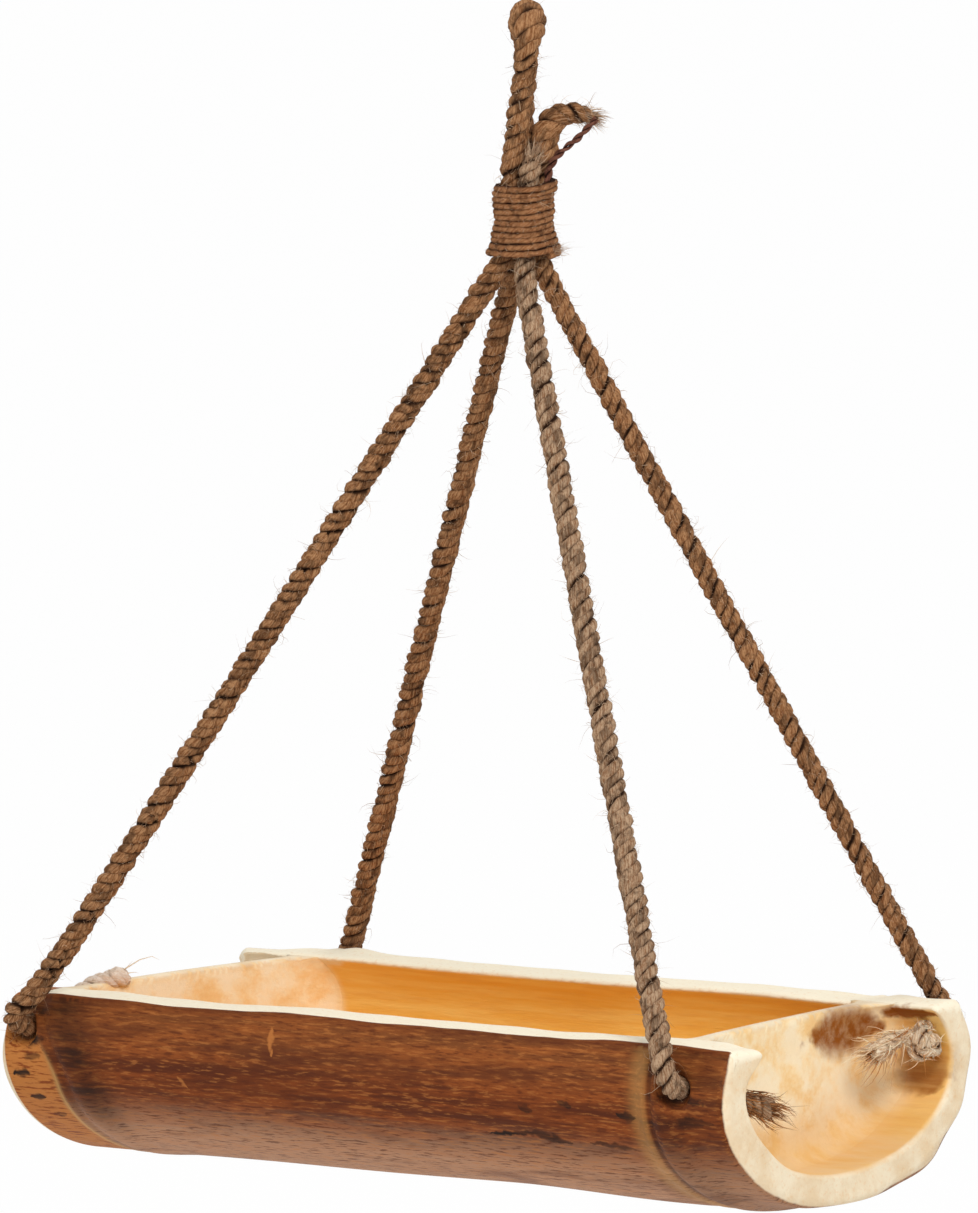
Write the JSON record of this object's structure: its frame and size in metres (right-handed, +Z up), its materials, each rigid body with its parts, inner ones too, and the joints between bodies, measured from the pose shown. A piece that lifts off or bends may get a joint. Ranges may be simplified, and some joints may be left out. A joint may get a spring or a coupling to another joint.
{
  "type": "bird feeder",
  "caption": "Hanging tray of a bamboo culm cut open along its top, held at its corners by jute ropes that gather in a whipping under a hanging loop.",
  "frame": {"origin": "inside crown of the hanging loop, where a hook bears", "axes": "+X along the culm to its right end, +Y to its back, +Z up"},
  "size_m": [0.2275, 0.1124, 0.2906],
  "materials": {
    "bamboo": "scraped brown bamboo skin, pale where it is cut",
    "jute_rope": "coarse twisted jute rope with loose fibres",
    "jute_twine": "thin jute twine"
  },
  "bodies": {
    "root": {"bamboo_trough": "bamboo", "left_rope_and_loop": "jute_rope", "front_right_rope": "jute_rope", "back_right_rope": "jute_rope", "whipping_twine": "jute_twine", "knot_front_left": "jute_rope", "knot_back_left": "jute_rope", "knot_front_right": "jute_rope", "knot_back_right": "jute_rope"}
  },
  "joints": []
}
